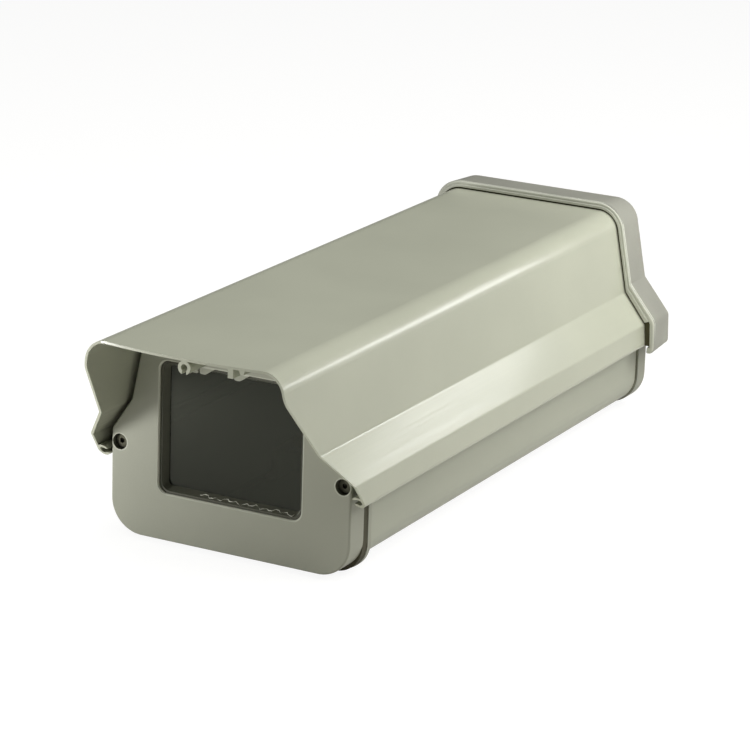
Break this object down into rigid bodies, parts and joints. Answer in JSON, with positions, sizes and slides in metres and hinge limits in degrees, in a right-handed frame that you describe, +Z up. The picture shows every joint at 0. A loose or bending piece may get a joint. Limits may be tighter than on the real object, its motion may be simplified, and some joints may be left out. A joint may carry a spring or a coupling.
{
  "type": "security camera housing",
  "caption": "Outdoor camera housing: extruded tray with end plates and window, and an extruded cover with sun visor and rear cap that slides back on rails.",
  "frame": {"origin": "centre of the four bracket holes, on the tray's flat underside", "axes": "+Y from the window to the rear, +Z up towards the cover's top, +X to the right seen from the front"},
  "size_m": [0.1588, 0.4098, 0.1169],
  "materials": {
    "cover_paint": "satin powder coat",
    "tray_paint": "satin powder coat",
    "plate_paint": "satin powder coat on a casting",
    "cap_plastic": "fine-grained moulded plastic",
    "glass": "clear polished glass",
    "seal_rubber": "matte black rubber",
    "gasket_rubber": "matte rubber",
    "retainer_plastic": "matte black",
    "screw_steel": "zinc-plated",
    "plain_aluminium": "mill finish",
    "knurled_brass": "turned and knurled",
    "knurled_steel": "turned and knurled",
    "gland_nylon": "moulded nylon"
  },
  "bodies": {
    "base": {"base_tray": "tray_paint", "front_plate": "plate_paint", "front_flange": "plate_paint", "rear_plate": "plate_paint", "window_glass": "glass", "window_seal": "seal_rubber", "front_gasket": "gasket_rubber", "rear_gasket": "gasket_rubber", "window_retainer": "retainer_plastic", "retainer_screws": "screw_steel", "front_plate_screws": "screw_steel", "rear_plate_screws": "screw_steel", "bar_rivets": "screw_steel", "bracket_bar": "plain_aluminium", "gland_bodies": "gland_nylon", "gland_washers": "gasket_rubber", "gland_inserts": "gasket_rubber", "gland_locknuts": "gland_nylon"},
    "cover": {"top_cover": "cover_paint", "rear_cap": "cap_plastic", "rear_cap_screws": "screw_steel"},
    "lock_screw_right": {"lock_screw_right": "knurled_steel"},
    "lock_screw_left": {"lock_screw_left": "knurled_steel"},
    "gland_nut_right": {"gland_nut_right": "gland_nylon"},
    "gland_nut_left": {"gland_nut_left": "gland_nylon"},
    "sled": {"camera_sled": "plain_aluminium", "camera_pad": "gasket_rubber", "sled_clamp_screws": "knurled_brass"},
    "camera_screw": {"camera_screw": "knurled_brass"}
  },
  "joints": [
    {"name": "cover_slide", "type": "slide", "parent": "base", "child": "cover", "axis": [0, 1, 0], "range_m": [0, 0.32]},
    {"name": "lock_screw_right_out", "type": "slide", "parent": "cover", "child": "lock_screw_right", "axis": [0, 1, 0], "range_m": [0, 0.009]},
    {"name": "lock_screw_left_out", "type": "slide", "parent": "cover", "child": "lock_screw_left", "axis": [0, 1, 0], "range_m": [0, 0.009]},
    {"name": "gland_nut_right_turn", "type": "hinge", "parent": "base", "child": "gland_nut_right", "pos_m": [0.024, 0.17935, 0.018], "axis": [0, 1, 0], "continuous": true},
    {"name": "gland_nut_left_turn", "type": "hinge", "parent": "base", "child": "gland_nut_left", "pos_m": [-0.024, 0.17935, 0.018], "axis": [0, 1, 0], "continuous": true},
    {"name": "sled_slide", "type": "slide", "parent": "base", "child": "sled", "axis": [0, 1, 0], "range_m": [-0.04, 0.03]},
    {"name": "camera_screw_slide", "type": "slide", "parent": "sled", "child": "camera_screw", "axis": [0, 1, 0], "range_m": [-0.035, 0.035]}
  ]
}
